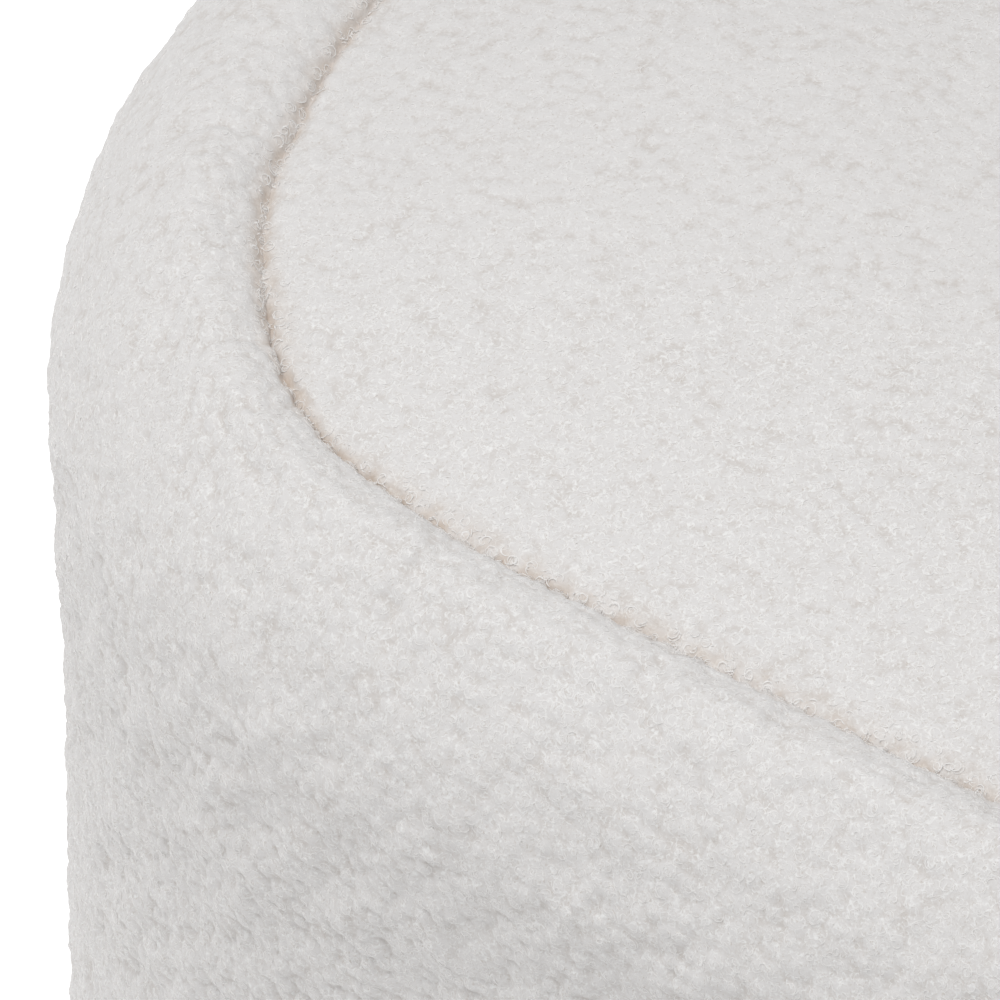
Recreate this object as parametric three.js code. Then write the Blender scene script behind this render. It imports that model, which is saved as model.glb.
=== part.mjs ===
// Storage ottoman with round ends: a padded, hollow body covered in looped pile cloth,
// a crowned lid that drops into the padded rim and lifts straight off, and a base board under both.
// Millimetres, +Z up. X runs along the length and the front faces -Y.
// The origin is on the floor, under the middle of the ottoman.
import * as THREE from 'three';

// Driving dimensions of the whole ottoman.
const LENGTH = 780;
const DEPTH = 450;
const RIM_HEIGHT = 430;

// The padded rim, from the widest line of the wall in to the groove round the lid. A SHOULDER_SLOPE of 1
// makes the shoulder a quarter ellipse, and more lets it fall away sooner from the crest.
const RIM_WIDTH = 55.5;
const RIM_CREST_INSET = 43;
const WIDEST_HEIGHT = 369;
const SHOULDER_SLOPE = 1.21;
const RIM_ROLL_DROP = 16;
const GROOVE_GAP = 1.2;

// The lid: its side ends below the rim's crest, its edge rolls in from there, and then the crown rises
// to the middle.
const LID_EDGE_DROP = 23;
const LID_ROLL_REACH = 9;
const LID_ROLL_RISE = 14;
const CROWN_RISE = 20;
const LID_SIDE = 40;

// The ledge that carries the lid, the hem and the base board.
const LEDGE_WIDTH = 14;
const BASE_THICKNESS = 12;
const BASE_INSET = 26;
const HEM_ROLL = 14;
const CLEARANCE = 0.3;

// How finely the round and straight stretches are divided.
const END_STEPS = 30;
const SIDE_STEPS = 6;
const ROLL_STEPS = 5;
const SHOULDER_STEPS = 8;
const CROWN_STEPS = 7;

// The side of the body is drawn in below its widest line, a row for each height.
const WALL_ROWS = [
  { height: WIDEST_HEIGHT, drawnIn: 0 },
  { height: 335, drawnIn: 0.4 },
  { height: 302, drawnIn: 1.2 },
  { height: 270, drawnIn: 2.0 },
  { height: 235, drawnIn: 2.4 },
  { height: 120, drawnIn: 2.8 },
  { height: BASE_THICKNESS + CLEARANCE + HEM_ROLL, drawnIn: 2.4 },
];

// Soft swellings of the rim's padding: where round the rim, as a share of the way from the middle of
// the front towards +X, how far each spreads and how much it lifts.
const RIM_SWELLS = [
  { along: 0.05, spread: 80, lift: 1.3 },
  { along: 0.19, spread: 60, lift: -1.2 },
  { along: 0.34, spread: 75, lift: 1.0 },
  { along: 0.47, spread: 90, lift: -0.9 },
  { along: 0.61, spread: 70, lift: 1.2 },
  { along: 0.72, spread: 65, lift: 1.0 },
  { along: 0.855, spread: 60, lift: -1.8 },
  { along: 0.94, spread: 75, lift: -0.8 },
];

// Shallow hollows in the cloth of the side, placed the same way, with the height of their middle.
const WALL_HOLLOWS = [
  { along: 0.12, height: 250, spread: 75, depth: 1.8 },
  { along: 0.31, height: 200, spread: 85, depth: 1.5 },
  { along: 0.45, height: 270, spread: 80, depth: 1.9 },
  { along: 0.66, height: 210, spread: 90, depth: 1.6 },
  { along: 0.80, height: 285, spread: 65, depth: 2.0 },
  { along: 0.91, height: 230, spread: 80, depth: 1.7 },
];

const END_RADIUS = DEPTH / 2;
const HALF_SIDE = LENGTH / 2 - END_RADIUS;
const PERIMETER = 4 * HALF_SIDE + 2 * Math.PI * END_RADIUS;
const RIM_FACE_INSET = RIM_WIDTH - GROOVE_GAP / 2;
const LID_FACE_INSET = RIM_WIDTH + GROOVE_GAP / 2;
const HOLLOW_INSET = RIM_FACE_INSET + LEDGE_WIDTH;
const RIM_ROLL_FOOT = RIM_HEIGHT - RIM_ROLL_DROP;
const LID_EDGE_FOOT = RIM_HEIGHT - LID_EDGE_DROP;
const LEDGE_HEIGHT = LID_EDGE_FOOT - LID_SIDE;
const BODY_FLOOR = BASE_THICKNESS + CLEARANCE;

// Places round the outline with the inward direction and the share of the way round, starting from
// the middle of the front and going towards +X.
function outlineStations() {
  const stations = [];
  let travelled = 0;
  const addSide = (from, to, y, inwardY) => {
    for (let step = 0; step < SIDE_STEPS / 2; step += 1) {
      const x = THREE.MathUtils.lerp(from, to, step / (SIDE_STEPS / 2));
      const along = (travelled + Math.abs(x - from)) / PERIMETER;
      stations.push({ x, y, inward: new THREE.Vector2(0, inwardY), along });
    }
    travelled += Math.abs(to - from);
  };
  const addEnd = (centreX, startAngle) => {
    for (let step = 0; step < END_STEPS; step += 1) {
      const turn = (Math.PI * step) / END_STEPS;
      const out = new THREE.Vector2(Math.cos(startAngle + turn), Math.sin(startAngle + turn));
      const along = (travelled + turn * END_RADIUS) / PERIMETER;
      stations.push({ x: centreX + END_RADIUS * out.x, y: END_RADIUS * out.y, inward: out.negate(), along });
    }
    travelled += Math.PI * END_RADIUS;
  };
  addSide(0, HALF_SIDE, -END_RADIUS, 1);
  addEnd(HALF_SIDE, -Math.PI / 2);
  addSide(HALF_SIDE, 0, END_RADIUS, -1);
  addSide(0, -HALF_SIDE, END_RADIUS, -1);
  addEnd(-HALF_SIDE, Math.PI / 2);
  addSide(-HALF_SIDE, 0, -END_RADIUS, 1);
  return stations;
}

const STATIONS = outlineStations();

// A soft bell shape: 1 at its middle and close to 0 one and a half spreads away.
function bell(distance, spread) {
  return Math.exp(-2 * (distance / spread) ** 2);
}

// The shorter way round between two places on the outline, in millimetres.
function distanceAlong(a, b) {
  const apart = Math.abs(a - b);
  return Math.min(apart, 1 - apart) * PERIMETER;
}

// A quarter of an ellipse in the plane of inset and height, as points.
function quarterRoll(centreInset, centreHeight, reach, rise, startAngle, steps) {
  const roll = new THREE.EllipseCurve(
    centreInset, centreHeight, reach, rise, startAngle, startAngle + Math.PI / 2,
  );
  return roll.getPoints(steps);
}

// The shoulder as points, from the rim's crest down to the widest line.
function shoulderRoll() {
  const points = [];
  for (let step = 0; step <= SHOULDER_STEPS; step += 1) {
    const turn = (Math.PI / 2) * (step / SHOULDER_STEPS);
    const outward = Math.sin(turn) ** SHOULDER_SLOPE;
    const height = Math.cos(turn) ** SHOULDER_SLOPE;
    points.push(new THREE.Vector2(
      RIM_CREST_INSET * (1 - outward),
      WIDEST_HEIGHT + (RIM_HEIGHT - WIDEST_HEIGHT) * height,
    ));
  }
  return points;
}

// The body's section: over the rim from the groove, down the side, under the hem, and back up the
// hollow and over the ledge that carries the lid.
function bodySection() {
  const innerRoll = quarterRoll(
    RIM_CREST_INSET, RIM_ROLL_FOOT, RIM_FACE_INSET - RIM_CREST_INSET, RIM_ROLL_DROP, 0, ROLL_STEPS,
  );
  const shoulder = shoulderRoll();
  const wall = WALL_ROWS.map((row) => new THREE.Vector2(row.drawnIn, row.height));
  const lastRow = WALL_ROWS[WALL_ROWS.length - 1];
  const hem = quarterRoll(
    lastRow.drawnIn + HEM_ROLL, lastRow.height, HEM_ROLL, HEM_ROLL, Math.PI, ROLL_STEPS,
  );
  const inside = [
    new THREE.Vector2(HOLLOW_INSET, BODY_FLOOR),
    new THREE.Vector2(HOLLOW_INSET, LEDGE_HEIGHT),
    new THREE.Vector2(RIM_FACE_INSET, LEDGE_HEIGHT),
  ];
  return [...innerRoll, ...shoulder.slice(1), ...wall.slice(1), ...hem.slice(1), ...inside];
}

// The padding's unevenness: the rim swells up and down, and the side has shallow hollows.
function unevenBody(point, station) {
  const uneven = point.clone();
  if (point.x > RIM_FACE_INSET - CLEARANCE) return uneven;
  const rimShare = THREE.MathUtils.smoothstep(point.y, WIDEST_HEIGHT, RIM_HEIGHT);
  for (const swell of RIM_SWELLS) {
    uneven.y += rimShare * swell.lift * bell(distanceAlong(station.along, swell.along), swell.spread);
  }
  const wallShare = 1 - THREE.MathUtils.smoothstep(point.x, HEM_ROLL / 2, HEM_ROLL);
  for (const hollow of WALL_HOLLOWS) {
    const sideways = distanceAlong(station.along, hollow.along);
    const away = Math.hypot(sideways, point.y - hollow.height);
    uneven.x += wallShare * hollow.depth * bell(away, hollow.spread);
  }
  return uneven;
}

// How high the lid stands above the foot of its rolled edge, a way in from its side.
function lidRise(wayIn) {
  const rolled = Math.min(1, wayIn / LID_ROLL_REACH);
  const across = wayIn / (END_RADIUS - LID_FACE_INSET);
  return LID_ROLL_RISE * Math.sqrt(1 - (1 - rolled) ** 2) + CROWN_RISE * (1 - (1 - across) ** 2);
}

// The lid's section, from its bottom edge up the side and over the crown to near the middle.
function lidSection() {
  const waysIn = [];
  for (let step = 0; step < ROLL_STEPS; step += 1) {
    waysIn.push(LID_ROLL_REACH * (1 - Math.cos((Math.PI / 2) * (step / ROLL_STEPS))));
  }
  for (let step = 0; step < CROWN_STEPS; step += 1) {
    waysIn.push(THREE.MathUtils.lerp(LID_ROLL_REACH, END_RADIUS - LID_FACE_INSET, step / CROWN_STEPS));
  }
  const top = waysIn.map((wayIn) => new THREE.Vector2(LID_FACE_INSET + wayIn, LID_EDGE_FOOT + lidRise(wayIn)));
  return [new THREE.Vector2(LID_FACE_INSET, LEDGE_HEIGHT + CLEARANCE), ...top];
}

// A closed solid from rings of points, one ring for each section point. Either the last ring joins
// the first, as round a tub, or flat caps close the first and the last.
function ringSolid(rings, joinsItself) {
  const perRing = rings[0].length;
  const positions = rings.flat().flatMap((point) => point.toArray());
  const triangles = [];
  const bands = joinsItself ? rings.length : rings.length - 1;
  for (let band = 0; band < bands; band += 1) {
    const here = band * perRing;
    const next = ((band + 1) % rings.length) * perRing;
    for (let i = 0; i < perRing; i += 1) {
      const j = (i + 1) % perRing;
      triangles.push(here + i, here + j, next + i, next + i, here + j, next + j);
    }
  }
  if (!joinsItself) {
    const flat = (ring) => ring.map((point) => new THREE.Vector2(point.x, point.y));
    const capFaces = (ring) => THREE.ShapeUtils.triangulateShape(flat(ring), []);
    const last = (rings.length - 1) * perRing;
    capFaces(rings[0]).forEach(([a, b, c]) => triangles.push(a, c, b));
    capFaces(rings[rings.length - 1]).forEach(([a, b, c]) => triangles.push(last + a, last + b, last + c));
  }
  const geometry = new THREE.BufferGeometry();
  geometry.setAttribute('position', new THREE.Float32BufferAttribute(positions, 3));
  geometry.setIndex(triangles);
  geometry.computeVertexNormals();
  return geometry;
}

// Sweeps a section round the outline. adjust may move a section point at a station.
function sweptRings(section, adjust = (point) => point) {
  return section.map((point) => STATIONS.map((station) => {
    const at = adjust(point, station);
    return new THREE.Vector3(
      station.x + station.inward.x * at.x,
      station.y + station.inward.y * at.x,
      at.y,
    );
  }));
}

const LOOPED_PILE = { color: 0xdfdcda, roughness: 0.95, metalness: 0 };
const BLACK_BOARD = { color: 0x2b2a2b, roughness: 0.8, metalness: 0 };

function namedMesh(name, geometry, finish) {
  const mesh = new THREE.Mesh(geometry, new THREE.MeshStandardMaterial(finish));
  mesh.name = name;
  return mesh;
}

// Padded rim, side and hem, with the ledge and the hollow inside.
function makeBody() {
  const rings = sweptRings(bodySection(), unevenBody);
  return namedMesh('body_cover', ringSolid(rings.reverse(), true), LOOPED_PILE);
}

// Crowned lid, loose on the ledge.
function makeLid() {
  return namedMesh('lid_cushion', ringSolid(sweptRings(lidSection()), false), LOOPED_PILE);
}

// Flat board that the ottoman stands on, set in from the hem.
function makeBase() {
  const outline = new THREE.Shape(STATIONS.map((station) => new THREE.Vector2(
    station.x + station.inward.x * BASE_INSET,
    station.y + station.inward.y * BASE_INSET,
  )));
  const board = new THREE.ExtrudeGeometry(outline, { depth: BASE_THICKNESS, bevelEnabled: false });
  return namedMesh('base_panel', board, BLACK_BOARD);
}

const ottoman = new THREE.Group();
ottoman.add(makeBody(), makeLid(), makeBase());

export default ottoman;
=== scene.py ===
# %% [markdown]
# # A storage ottoman in looped pile cloth
# The ottoman is a hollow, padded body with round ends and a loose lid that drops into its soft rim.
# All of it but the base board wears one off-white boucle: a cloth woven with a looped yarn, whose tiny
# curls stand up as a dense, nubby pile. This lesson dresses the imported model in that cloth.

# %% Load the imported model
import math

import bpy
import numpy as np
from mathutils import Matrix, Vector, kdtree
from mathutils.bvhtree import BVHTree


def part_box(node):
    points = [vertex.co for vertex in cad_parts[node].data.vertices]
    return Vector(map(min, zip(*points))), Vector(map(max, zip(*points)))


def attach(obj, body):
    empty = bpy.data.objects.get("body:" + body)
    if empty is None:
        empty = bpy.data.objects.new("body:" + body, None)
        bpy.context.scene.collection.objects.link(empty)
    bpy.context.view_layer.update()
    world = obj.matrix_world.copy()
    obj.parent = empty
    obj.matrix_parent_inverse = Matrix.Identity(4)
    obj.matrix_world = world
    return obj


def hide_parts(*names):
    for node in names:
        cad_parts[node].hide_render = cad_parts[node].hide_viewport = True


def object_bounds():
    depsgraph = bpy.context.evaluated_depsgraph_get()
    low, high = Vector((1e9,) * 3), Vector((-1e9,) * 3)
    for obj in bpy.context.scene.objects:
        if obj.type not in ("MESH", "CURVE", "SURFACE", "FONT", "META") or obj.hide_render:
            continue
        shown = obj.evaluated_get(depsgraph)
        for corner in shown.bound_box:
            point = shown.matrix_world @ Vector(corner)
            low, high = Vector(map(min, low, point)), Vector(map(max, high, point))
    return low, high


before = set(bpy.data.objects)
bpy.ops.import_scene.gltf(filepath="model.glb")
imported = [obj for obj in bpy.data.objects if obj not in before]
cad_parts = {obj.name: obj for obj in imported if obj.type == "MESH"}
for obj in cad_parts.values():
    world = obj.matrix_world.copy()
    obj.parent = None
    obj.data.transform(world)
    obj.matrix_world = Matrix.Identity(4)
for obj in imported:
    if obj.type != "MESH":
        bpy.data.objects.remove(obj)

cad_low, cad_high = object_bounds()
print("packed model:", [round(size, 3) for size in cad_high - cad_low], "m")

# %% [markdown]
# ## Sizes
# A maker works from a few sizes: the outline, how wide and how high the rim is, how deep the groove
# round the lid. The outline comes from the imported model. The rest repeats the solids' own sizes,
# in metres, because the cloth has to lie on the padding and not beside it.

# %% Sizes of the padding under the cloth
MM = 0.001
END_RADIUS = (cad_high.y - cad_low.y) / 2
HALF_SIDE = (cad_high.x - cad_low.x) / 2 - END_RADIUS
QUARTER_END = END_RADIUS * math.pi / 2
PERIMETER = 4 * HALF_SIDE + 4 * QUARTER_END

RIM_HEIGHT = 430 * MM
RIM_WIDTH = 55.5 * MM
RIM_CREST_INSET = 43 * MM
RIM_ROLL_DROP = 16 * MM
WIDEST_HEIGHT = 369 * MM
SHOULDER_SLOPE = 1.21
GROOVE_GAP = 1.2 * MM
LID_EDGE_DROP = 23 * MM
LID_ROLL_REACH = 9 * MM
LID_ROLL_RISE = 14 * MM
CROWN_RISE = 20 * MM
LID_SIDE = 40 * MM
LEDGE_WIDTH = 14 * MM
HEM_ROLL = 14 * MM
BODY_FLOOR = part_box("body_cover")[0].z
LID_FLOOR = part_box("lid_cushion")[0].z
RIM_ROLL_FOOT = RIM_HEIGHT - RIM_ROLL_DROP
LID_EDGE_FOOT = RIM_HEIGHT - LID_EDGE_DROP
LEDGE_HEIGHT = LID_EDGE_FOOT - LID_SIDE
RIM_FACE_INSET = RIM_WIDTH - GROOVE_GAP / 2
LID_FACE_INSET = RIM_WIDTH + GROOVE_GAP / 2
HOLLOW_INSET = RIM_FACE_INSET + LEDGE_WIDTH

# The side is drawn in below its widest line, a row for each height in millimetres.
WALL_ROWS = [
    {"height": 369, "drawn_in": 0},
    {"height": 335, "drawn_in": 0.4},
    {"height": 302, "drawn_in": 1.2},
    {"height": 270, "drawn_in": 2.0},
    {"height": 235, "drawn_in": 2.4},
    {"height": 120, "drawn_in": 2.8},
    {"height": 26.3, "drawn_in": 2.4},
]
# The padding's unevenness: where round the rim, as a share of the way from the middle of the front
# towards +X, with spread, lift, height and depth in millimetres.
RIM_SWELLS = [
    {"along": 0.05, "spread": 80, "lift": 1.3},
    {"along": 0.19, "spread": 60, "lift": -1.2},
    {"along": 0.34, "spread": 75, "lift": 1.0},
    {"along": 0.47, "spread": 90, "lift": -0.9},
    {"along": 0.61, "spread": 70, "lift": 1.2},
    {"along": 0.72, "spread": 65, "lift": 1.0},
    {"along": 0.855, "spread": 60, "lift": -1.8},
    {"along": 0.94, "spread": 75, "lift": -0.8},
]
WALL_HOLLOWS = [
    {"along": 0.12, "height": 250, "spread": 75, "depth": 1.8},
    {"along": 0.31, "height": 200, "spread": 85, "depth": 1.5},
    {"along": 0.45, "height": 270, "spread": 80, "depth": 1.9},
    {"along": 0.66, "height": 210, "spread": 90, "depth": 1.6},
    {"along": 0.80, "height": 285, "spread": 65, "depth": 2.0},
    {"along": 0.91, "height": 230, "spread": 80, "depth": 1.7},
]
print("end radius", round(END_RADIUS / MM), "mm, straight side", round(2 * HALF_SIDE / MM), "mm")

# %% [markdown]
# ## Camera
# The photograph looks down at one round end from far off, so the lens is long and the picture has
# almost no perspective. The end's centre, at the height of the rim, falls on a known place in the
# picture, and the picture's middle follows from that.

# %% Camera at the photograph's viewing angle
CAMERA_AZIMUTH = math.radians(35.12)
CAMERA_ELEVATION = math.radians(43.24)
PICTURE_SIZE = 1000
END_CENTRE_PIXEL = (908.4, 190.6)
PIXEL = 0.26078 * MM
CAMERA_DISTANCE = 5.06
SENSOR_WIDTH = 36

view_right = Vector((math.cos(CAMERA_AZIMUTH), math.sin(CAMERA_AZIMUTH), 0))
view_back = Vector((
    math.sin(CAMERA_AZIMUTH) * math.cos(CAMERA_ELEVATION),
    -math.cos(CAMERA_AZIMUTH) * math.cos(CAMERA_ELEVATION),
    math.sin(CAMERA_ELEVATION),
))
view_up = view_back.cross(view_right)
picture_middle = Vector((-HALF_SIDE, 0, RIM_HEIGHT))
picture_middle += view_right * (PICTURE_SIZE / 2 - END_CENTRE_PIXEL[0]) * PIXEL
picture_middle += view_up * (END_CENTRE_PIXEL[1] - PICTURE_SIZE / 2) * PIXEL

camera_data = bpy.data.cameras.new("photo_camera")
camera_data.sensor_width = SENSOR_WIDTH
camera_data.lens = SENSOR_WIDTH * CAMERA_DISTANCE / (PICTURE_SIZE * PIXEL)
camera_data.clip_end = 100
camera = bpy.data.objects.new("photo_camera", camera_data)
camera.location = picture_middle + view_back * CAMERA_DISTANCE
camera.rotation_mode = "QUATERNION"
camera.rotation_quaternion = (-view_back).to_track_quat("-Z", "Y")
bpy.context.collection.objects.link(camera)
bpy.context.scene.camera = camera
print("lens", round(camera_data.lens), "mm")

# %% [markdown]
# ## The outline
# Seen from above the ottoman is a straight run with two half circles. A place on it is one number: the
# distance from the tip of the end at -X, going along the front. Every skin below is swept round this line.

# %% Places round the outline
def smooth(value, low, high):
    """A soft step from 0 at low to 1 at high."""
    share = np.clip((value - low) / (high - low), 0, 1)
    return share * share * (3 - 2 * share)


def unit(vectors):
    """Vectors made one long."""
    return vectors / np.maximum(np.linalg.norm(vectors, axis=-1, keepdims=True), 1e-12)


def outline_at(distance, inset):
    """Points in plan, an inset inside the outline, at distances from the -X tip."""
    distance = np.mod(distance, PERIMETER)
    away = np.minimum(distance, PERIMETER - distance)
    front = np.where(distance <= PERIMETER / 2, -1.0, 1.0)
    straight = np.clip(away - QUARTER_END, 0, 2 * HALF_SIDE)
    turn = (away - straight) / END_RADIUS
    reach = END_RADIUS - inset
    return np.stack([straight - HALF_SIDE - np.cos(turn) * reach, front * np.sin(turn) * reach], axis=-1)


def even_stations(step):
    """Even distances round the outline, an even number of them, so front and back mirror each other."""
    count = 2 * round(PERIMETER / step / 2)
    return np.arange(count) * PERIMETER / count


print("outline", round(PERIMETER / MM), "mm round")

# %% [markdown]
# ## The groove
# The lid's edge is a tight roll beside the soft roll of the rim. The cloth's pile fills most of what lies
# between: the rim's pile leans in until it meets the lid's, and only a shallow valley with a narrow floor
# is left to see. Modelled as a deep slit it would show as a hard black line, which soft pile never has.
# The leaning pile moves the line that the eye sees inwards, so both skins lie further out than the solids'
# groove, most at the four corners: the valley is squarer than the outline, and deepest there.

# %% Pile over the groove
PILE_DEPTH = 0.9 * MM
LID_REACH = END_RADIUS - LID_FACE_INSET
VALLEY_HEIGHT = 420.6 * MM
VALLEY_OVERLAP = 1 * MM
TIP_RISE = 1.2 * MM
DEEPEST_CORNER = 243 * MM
VALLEY_CORNER = 225 * MM
CORNER_SHIFT = 5.1 * MM
SIDE_SHIFT = 5.4 * MM
STRAIGHT_SHIFT = 1.4 * MM
TIP_SHIFT = 0.8 * MM


def bell(distance, spread):
    """1 at the middle and close to 0 one and a half spreads away."""
    return np.exp(-2 * (distance / spread) ** 2)


def from_tip(distance):
    """The way to the nearer tip of the ottoman."""
    distance = np.mod(distance, PERIMETER / 2)
    return np.minimum(distance, PERIMETER / 2 - distance)


def near_tip(distance):
    """1 round the tips and 0 along the sides."""
    return 1 - smooth(from_tip(distance), 150 * MM, 240 * MM)


def valley_height(distance):
    """How high the bottom of the valley lies: a little higher round the tips, lower at the corners."""
    corner = bell(from_tip(distance) - DEEPEST_CORNER, 45 * MM)
    return VALLEY_HEIGHT + TIP_RISE * (near_tip(distance) - corner)


def valley_floor(distance):
    """How wide the valley's floor is, with the part that lies under the lid's pile."""
    return (1.8 + 0.7 * near_tip(distance)) * MM


def valley_shift(distance):
    """How much further out than the solids' groove the valley lies."""
    away = from_tip(distance)
    side = SIDE_SHIFT * smooth(away, 60 * MM, 150 * MM)
    side = side + STRAIGHT_SHIFT * smooth(away, 225 * MM, 265 * MM) - TIP_SHIFT
    return side + CORNER_SHIFT * bell(away - VALLEY_CORNER, 95 * MM)


def lid_rise(way_in):
    """How high the lid stands above the foot of its rolled edge, a way in from its side."""
    rolled = np.clip(way_in / LID_ROLL_REACH, 0, 1)
    across = way_in / LID_REACH
    return LID_ROLL_RISE * np.sqrt(1 - (1 - rolled) ** 2) + CROWN_RISE * (1 - (1 - across) ** 2)


def rim_roll(height):
    """How far in from its crest the rim's roll reaches at a height."""
    over = np.clip((height - RIM_ROLL_FOOT) / RIM_ROLL_DROP, 0, 1)
    return (RIM_FACE_INSET - RIM_CREST_INSET) * np.sqrt(1 - over ** 2)


def leaning(height, distance):
    """How far the pile leans in from the rim's roll at a height, to meet the lid's pile."""
    valley = valley_height(distance)
    level = np.minimum(height, valley)
    way_in = np.linspace(0, LID_ROLL_REACH, 60)
    lid_inset = LID_FACE_INSET + np.interp(level, LID_EDGE_FOOT + lid_rise(way_in), way_in)
    meeting = lid_inset + 2 * PILE_DEPTH + VALLEY_OVERLAP
    drop = (0.7 + 0.9 * smooth(from_tip(distance), 210 * MM, 280 * MM)) * MM
    meeting = meeting - valley_floor(distance) * smooth(height, valley - drop, valley)
    reach = meeting - RIM_CREST_INSET - rim_roll(level)
    reach *= smooth(height, LID_EDGE_FOOT + 0.5 * MM, LID_EDGE_FOOT + 5 * MM)
    return reach * rim_roll(height) / rim_roll(level)


lean = leaning(VALLEY_HEIGHT, PERIMETER / 4)
print("the pile leans in", round(float(lean) / MM, 1), "mm over the groove")

# %% [markdown]
# ## The body's section
# The padded rim rises out of the groove, rolls over a soft shoulder and runs down the side to a hem that is
# turned under. Inside there is the plain wall of the hollow and the ledge for the lid. The section is
# a chain of lines in inset and height. Each line says how long its faces are.

# %% Section of the body
quarter_turn = np.linspace(0, math.pi / 2, 90)


def chain(lines):
    """Joins lines of inset and height: the points, the way along them, and the rows where faces meet."""
    points, way, rows = [lines[0][0][0]], [0.0], []
    for line, step in lines:
        start = way[-1]
        for here, there in zip(line[:-1], line[1:]):
            points.append(there)
            way.append(way[-1] + math.dist(here, there))
        count = max(1, round((way[-1] - start) / step))
        rows.extend(np.linspace(start, way[-1], count + 1)[:-1])
    return np.array(points), np.array(way), np.array(rows + [way[-1]])


def body_lines():
    """The body's section from the foot of the groove over the rim, down the side and up the hollow."""
    roll = np.stack([
        RIM_CREST_INSET + (RIM_FACE_INSET - RIM_CREST_INSET) * np.cos(quarter_turn),
        RIM_ROLL_FOOT + RIM_ROLL_DROP * np.sin(quarter_turn),
    ], axis=1)
    face = np.array([[RIM_FACE_INSET, LID_EDGE_FOOT], roll[0]])
    shoulder = np.stack([
        RIM_CREST_INSET * (1 - np.sin(quarter_turn) ** SHOULDER_SLOPE),
        WIDEST_HEIGHT + (RIM_HEIGHT - WIDEST_HEIGHT) * np.cos(quarter_turn) ** SHOULDER_SLOPE,
    ], axis=1)
    wall = np.array([[row["drawn_in"], row["height"]] for row in WALL_ROWS]) * MM
    hem = wall[-1] + HEM_ROLL * np.stack([1 - np.cos(quarter_turn), -np.sin(quarter_turn)], axis=1)
    underside = np.array([hem[-1], [HOLLOW_INSET, BODY_FLOOR]])
    hollow = np.array([underside[-1], [HOLLOW_INSET, LEDGE_HEIGHT]])
    ledge = np.array([hollow[-1], [RIM_FACE_INSET, LEDGE_HEIGHT]])
    rebate = np.array([ledge[-1], face[0]])
    return [
        (face, 3.5 * MM), (roll, 3.5 * MM), (shoulder, 6.5 * MM), (wall, 6.5 * MM), (hem, 4.5 * MM),
        (underside, 20 * MM), (hollow, 60 * MM), (ledge, 8 * MM), (rebate, 20 * MM),
    ]


body_points, body_way, body_rows = chain(body_lines())
line_lengths = [np.sum(np.linalg.norm(np.diff(line, axis=0), axis=1)) for line, step in body_lines()]
line_ends = np.cumsum(line_lengths)
body_crest, body_outside = line_ends[1], line_ends[4]
print("body section", round(body_way[-1] / MM), "mm long,", round(body_outside / MM), "mm of it outside")

# %% [markdown]
# ## The skins of the padding
# A skin is a function that gives the point for a distance round the outline and a way along the section.
# As a formula it can be asked for as many points as a close view needs. The body's skin has the padding's
# unevenness: the rim swells up and down, and the side has shallow hollows. Beside the groove it moves out
# with the valley, down to the ledge.

# %% Skin of the body
def distance_round(distance, share):
    """The shorter way from distances to a share of the way from the middle of the front towards +X."""
    apart = np.abs((distance - QUARTER_END - HALF_SIDE) / PERIMETER - share) % 1.0
    return np.minimum(apart, 1 - apart) * PERIMETER


def body_skin(distance, way):
    """Points of the body's skin."""
    inset = np.interp(way, body_way, body_points[:, 0])
    height = np.interp(way, body_way, body_points[:, 1])
    padded = (way < body_outside) & (way > 0)
    rim = padded * smooth(height, WIDEST_HEIGHT, RIM_HEIGHT)
    rim = rim * (1 - smooth(inset, RIM_CREST_INSET, RIM_FACE_INSET))
    side = padded * (1 - smooth(inset, HEM_ROLL / 2, HEM_ROLL))
    lift, hollowed = 0, 0
    for swell in RIM_SWELLS:
        away = distance_round(distance, swell["along"])
        lift = lift + rim * swell["lift"] * MM * bell(away, swell["spread"] * MM)
    for hollow in WALL_HOLLOWS:
        away = np.hypot(distance_round(distance, hollow["along"]), height - hollow["height"] * MM)
        hollowed = hollowed + side * hollow["depth"] * MM * bell(away, hollow["spread"] * MM)
    inner = smooth(inset, 25 * MM, 50 * MM) * np.clip((HOLLOW_INSET - inset) / LEDGE_WIDTH, 0, 1)
    moved = np.where(height > LEDGE_HEIGHT - 1 * MM, inner, 0)
    inset = inset - moved * valley_shift(distance) + hollowed
    inset = inset + np.where(way < body_crest, leaning(height, distance), 0)
    return np.concatenate([outline_at(distance, inset), (height + lift)[..., None]], axis=-1)


front_crest = body_skin(np.array([PERIMETER / 4]), np.array([body_crest]))[0]
print("the rim's crest is", round(front_crest[2] / MM, 1), "mm high in the middle of the front")

# %% [markdown]
# The lid's skin starts in the middle of the crown, as smaller and smaller copies of the lid's outline, and
# goes out over the rolled edge and down the side into the groove. The whole lid moves out with the valley,
# so that its side stays straight and no lip hangs over when it is lifted.

# %% Skin of the lid
CROWN_WAY = HALF_SIDE + LID_REACH - LID_ROLL_REACH
CROWN_START = 0.03


def lid_edge_lines():
    """The lid's section from the top of its rolled edge down to its flat bottom."""
    roll_in = LID_ROLL_REACH - LID_ROLL_REACH * np.cos(quarter_turn[::-1])
    roll = np.stack([LID_FACE_INSET + roll_in, LID_EDGE_FOOT + lid_rise(roll_in)], axis=1)
    side = np.array([roll[-1], [LID_FACE_INSET, LID_FLOOR + 2 * MM]])
    bottom = np.array([side[-1], [LID_FACE_INSET + 2 * MM, LID_FLOOR]])
    return [(roll, 2.2 * MM), (side, 12 * MM), (bottom, 3 * MM)]


edge_points, edge_way, edge_rows = chain(lid_edge_lines())
crown_rows = np.linspace(CROWN_START, 1, 55)[:-1] * CROWN_WAY
lid_rows = np.concatenate([crown_rows, CROWN_WAY + edge_rows])


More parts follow.
